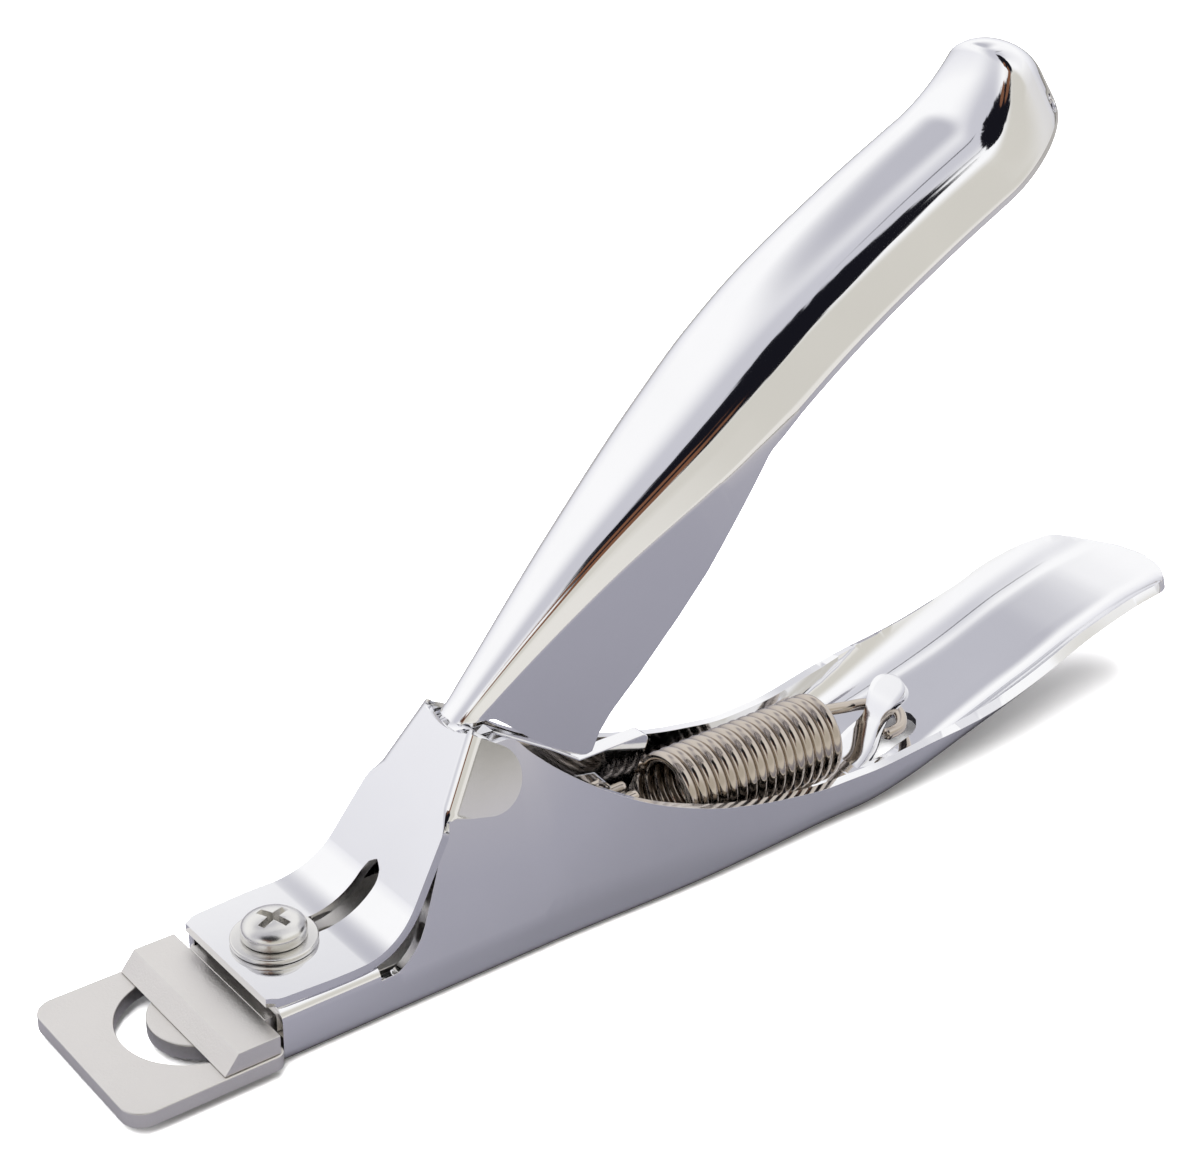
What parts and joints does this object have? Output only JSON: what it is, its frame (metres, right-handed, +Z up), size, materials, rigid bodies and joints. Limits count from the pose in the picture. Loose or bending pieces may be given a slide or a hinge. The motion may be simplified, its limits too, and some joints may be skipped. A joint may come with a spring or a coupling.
{
  "type": "nail tip cutter",
  "caption": "Guillotine cutter for artificial nail tips: a sprung lever over a folded sheet handle slides a bevelled blade across a crescent slot in a flat anvil plate.",
  "frame": {"origin": "on the flat underside, straight below the hinge axis", "axes": "+X from the hinge towards the grips, +Y across the tool, +Z up; the cutting end points to -X"},
  "size_m": [0.122, 0.018, 0.0689],
  "materials": {
    "chrome_sheet": "bright chrome plate on pressed steel sheet",
    "satin_steel": "blasted satin steel",
    "zinc_plate": "smooth zinc plate",
    "spring_wire": "bright warm nickel wire"
  },
  "bodies": {
    "frame": {"lower_handle": "chrome_sheet", "anvil_plate": "satin_steel", "cover_plate": "chrome_sheet", "cover_washer": "zinc_plate", "cover_screw": "zinc_plate", "pivot_pin": "zinc_plate", "return_spring": "spring_wire"},
    "lever": {"upper_handle": "chrome_sheet"},
    "cutter": {"blade": "satin_steel"}
  },
  "joints": [
    {"name": "lever_hinge", "type": "hinge", "parent": "frame", "child": "lever", "pos_m": [0, 0, 0.017], "axis": [0, 1, 0], "range_deg": [0, 20], "stiffness_Nm_per_rad": 0.2, "springref_deg": -22.92, "deforming": ["return_spring"]},
    {"name": "blade_slide", "type": "slide", "parent": "frame", "child": "cutter", "axis": [-1, 0, 0], "range_m": [0, 0.0048]}
  ],
  "couplings": [
    {"joint": "blade_slide", "follows": "lever_hinge", "m_per_rad": 0.01363}
  ]
}
